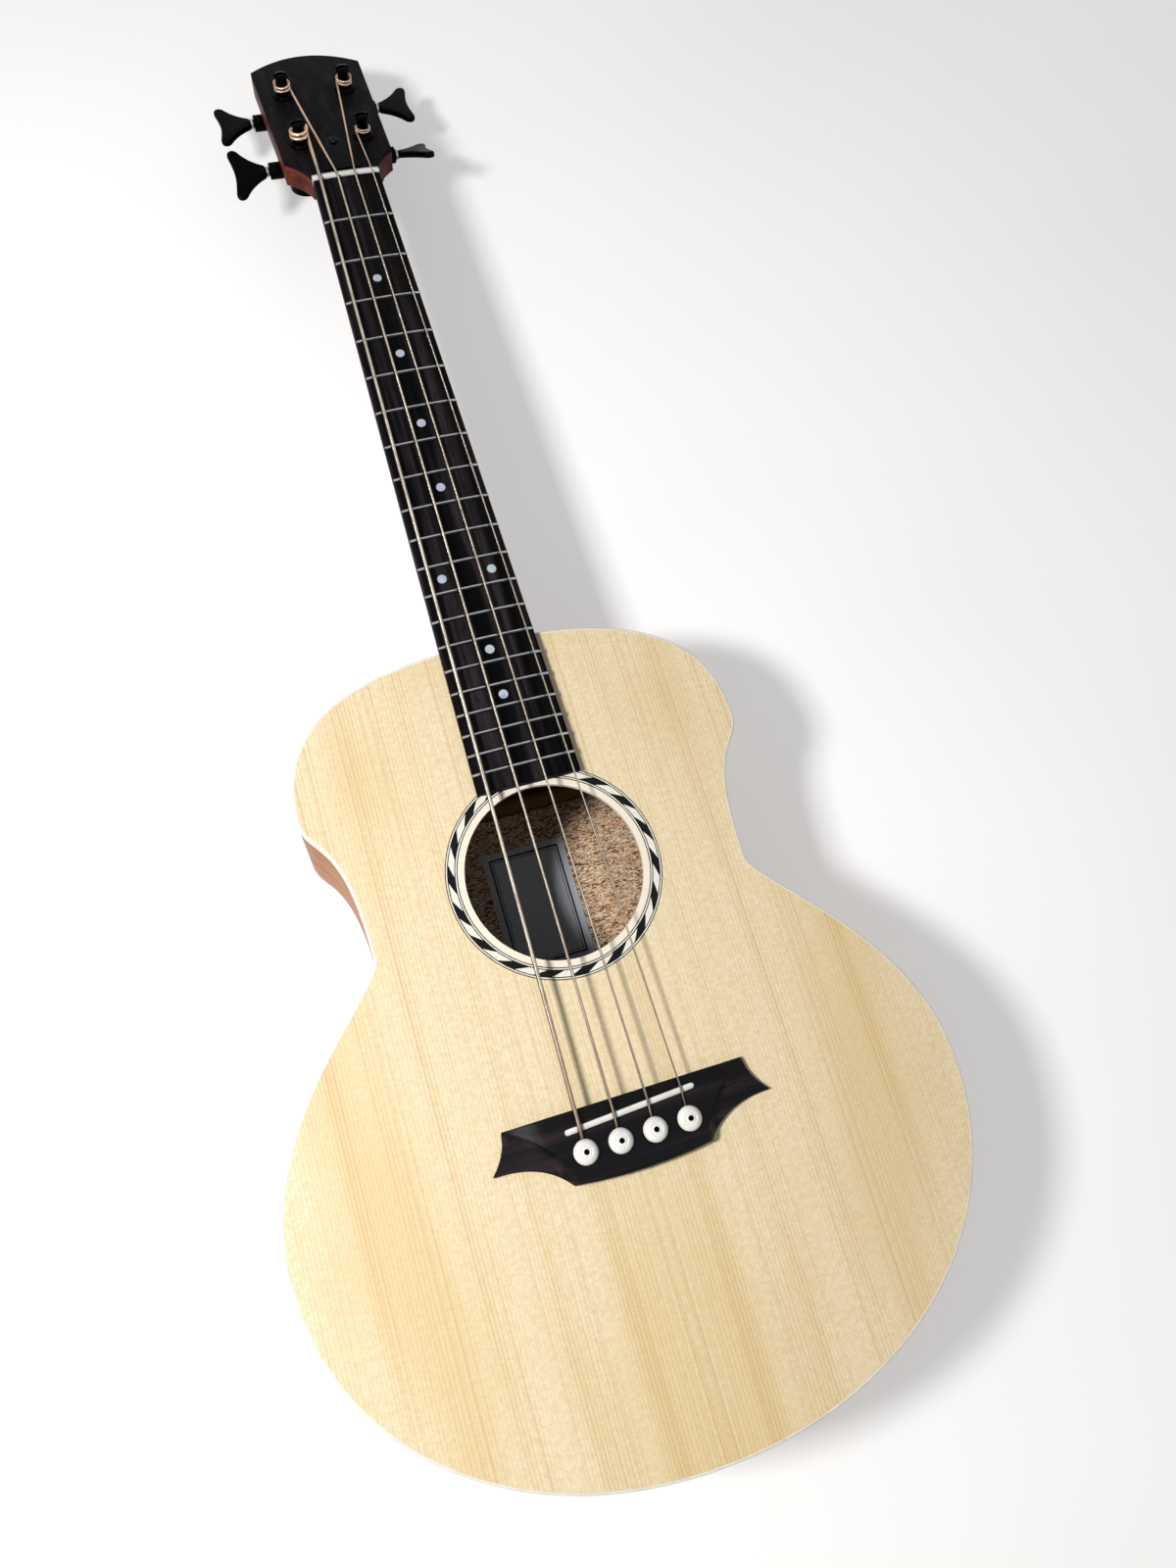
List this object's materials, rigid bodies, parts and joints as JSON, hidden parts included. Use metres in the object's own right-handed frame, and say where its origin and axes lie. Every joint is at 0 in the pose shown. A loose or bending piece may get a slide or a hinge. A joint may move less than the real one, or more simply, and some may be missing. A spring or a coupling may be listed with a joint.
{
  "type": "acoustic bass guitar",
  "caption": "Short-scale acoustic bass guitar with a round sound hole, a winged pin bridge and enclosed worm tuners, lying on its back.",
  "frame": {"origin": "on the outer face of the flat back, straight under the middle of the saddle", "axes": "+Y along the neck to the head, +X towards the thinnest string, +Z out of the flat back, up through the body"},
  "size_m": [0.3658, 0.9311, 0.1196],
  "materials": {
    "spruce": "clear satin, fine straight grain",
    "side_wood": "clear satin over orange-brown wood",
    "inner_wood": "bare wood",
    "white_binding": "scraped flush, semi-gloss",
    "ring_inlay": "flush inlay of dark lines and a black and white rope",
    "label_paper": null,
    "neck_wood": "clear satin over red-brown wood",
    "dark_wood": "oiled, nearly black",
    "bone_white": "polished",
    "bronze_wound": "wound wire",
    "black_metal": "gloss black",
    "black_plastic": "gloss",
    "steel": "plated"
  },
  "bodies": {
    "body": {"soundboard": "spruce", "x_brace_bass": "spruce", "x_brace_treble": "spruce", "upper_transverse_brace": "spruce", "tone_bar_1": "spruce", "tone_bar_2": "spruce", "back_brace_1": "spruce", "back_brace_2": "spruce", "back_brace_3": "spruce", "back_brace_4": "spruce", "side_bass": "side_wood", "side_treble": "side_wood", "back_plate": "side_wood", "top_lining_bass": "inner_wood", "top_lining_treble": "inner_wood", "back_lining_bass": "inner_wood", "back_lining_treble": "inner_wood", "neck_block": "inner_wood", "tail_block": "inner_wood", "bridge_plate": "inner_wood", "top_binding": "white_binding", "back_binding": "white_binding", "rosette": "ring_inlay", "label": "label_paper", "neck": "neck_wood", "headstock_veneer": "dark_wood", "truss_rod_cover": "dark_wood", "fretboard": "dark_wood", "bridge": "dark_wood", "nut": "bone_white", "saddle": "bone_white", "bridge_pin_e": "bone_white", "bridge_pin_a": "bone_white", "bridge_pin_d": "bone_white", "bridge_pin_g": "bone_white", "string_e": "bronze_wound", "string_a": "bronze_wound", "string_d": "bronze_wound", "string_g": "bronze_wound", "tuner_housing_e": "black_metal", "tuner_bushing_e": "black_metal", "tuner_housing_a": "black_metal", "tuner_bushing_a": "black_metal", "tuner_housing_d": "black_metal", "tuner_bushing_d": "black_metal", "tuner_housing_g": "black_metal", "tuner_bushing_g": "black_metal", "strap_button": "black_plastic", "truss_rod": "steel", "cover_screw": "steel"},
    "key_e": {"tuner_key_e": "black_metal"},
    "key_a": {"tuner_key_a": "black_metal"},
    "key_d": {"tuner_key_d": "black_metal"},
    "key_g": {"tuner_key_g": "black_metal"},
    "post_e": {"tuner_post_e": "black_metal"},
    "post_a": {"tuner_post_a": "black_metal"},
    "post_d": {"tuner_post_d": "black_metal"},
    "post_g": {"tuner_post_g": "black_metal"}
  },
  "joints": [
    {"name": "key_turn_e", "type": "hinge", "parent": "body", "child": "key_e", "pos_m": [-0.0209, 0.64692, 0.05094], "axis": [1, 0, 0], "continuous": true},
    {"name": "post_turn_e", "type": "hinge", "parent": "body", "child": "post_e", "pos_m": [-0.0209, 0.64096, 0.07363], "axis": [0, 0.2766, 0.961], "continuous": true},
    {"name": "key_turn_a", "type": "hinge", "parent": "body", "child": "key_a", "pos_m": [-0.0209, 0.70169, 0.03518], "axis": [1, 0, 0], "continuous": true},
    {"name": "post_turn_a", "type": "hinge", "parent": "body", "child": "post_a", "pos_m": [-0.0209, 0.69574, 0.05786], "axis": [0, 0.2766, 0.961], "continuous": true},
    {"name": "key_turn_d", "type": "hinge", "parent": "body", "child": "key_d", "pos_m": [0.0209, 0.70169, 0.03518], "axis": [1, 0, 0], "continuous": true},
    {"name": "post_turn_d", "type": "hinge", "parent": "body", "child": "post_d", "pos_m": [0.0209, 0.69574, 0.05786], "axis": [0, 0.2766, 0.961], "continuous": true},
    {"name": "key_turn_g", "type": "hinge", "parent": "body", "child": "key_g", "pos_m": [0.0209, 0.64692, 0.05094], "axis": [1, 0, 0], "continuous": true},
    {"name": "post_turn_g", "type": "hinge", "parent": "body", "child": "post_g", "pos_m": [0.0209, 0.64096, 0.07363], "axis": [0, 0.2766, 0.961], "continuous": true}
  ],
  "couplings": [
    {"joint": "post_turn_e", "follows": "key_turn_e", "ratio": 0.0625},
    {"joint": "post_turn_a", "follows": "key_turn_a", "ratio": 0.0625},
    {"joint": "post_turn_d", "follows": "key_turn_d", "ratio": -0.0625},
    {"joint": "post_turn_g", "follows": "key_turn_g", "ratio": -0.0625}
  ]
}
